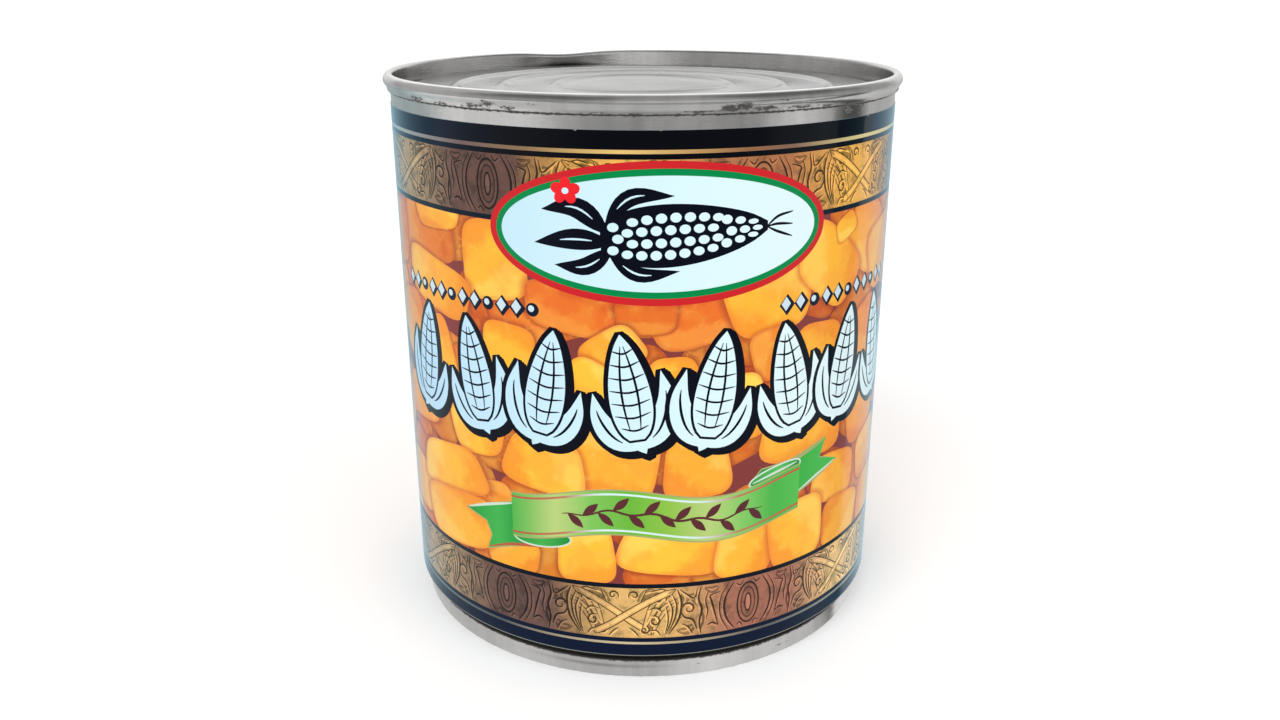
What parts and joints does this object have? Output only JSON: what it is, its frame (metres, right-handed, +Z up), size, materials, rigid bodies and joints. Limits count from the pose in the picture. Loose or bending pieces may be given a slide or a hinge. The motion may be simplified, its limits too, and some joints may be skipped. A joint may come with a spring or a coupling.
{
  "type": "can of sweetcorn",
  "caption": "Short round food can with a plain recessed lid, necked-in base and a glossy paper label printed with corn kernels.",
  "frame": {"origin": "centre of the foot ring that the can stands on", "axes": "+Z up along the can's axis; the front of the label faces -Y and the glued overlap faces +Y"},
  "size_m": [0.085, 0.085, 0.0914],
  "materials": {
    "tinplate_body": "satin tinplate",
    "tinplate_top": "satin tinplate",
    "tinplate_base": "satin tinplate",
    "label_paper": "glossy printed paper"
  },
  "bodies": {
    "root": {"can_body": "tinplate_body", "top_end": "tinplate_top", "bottom_end": "tinplate_base", "paper_label": "label_paper"}
  },
  "joints": []
}
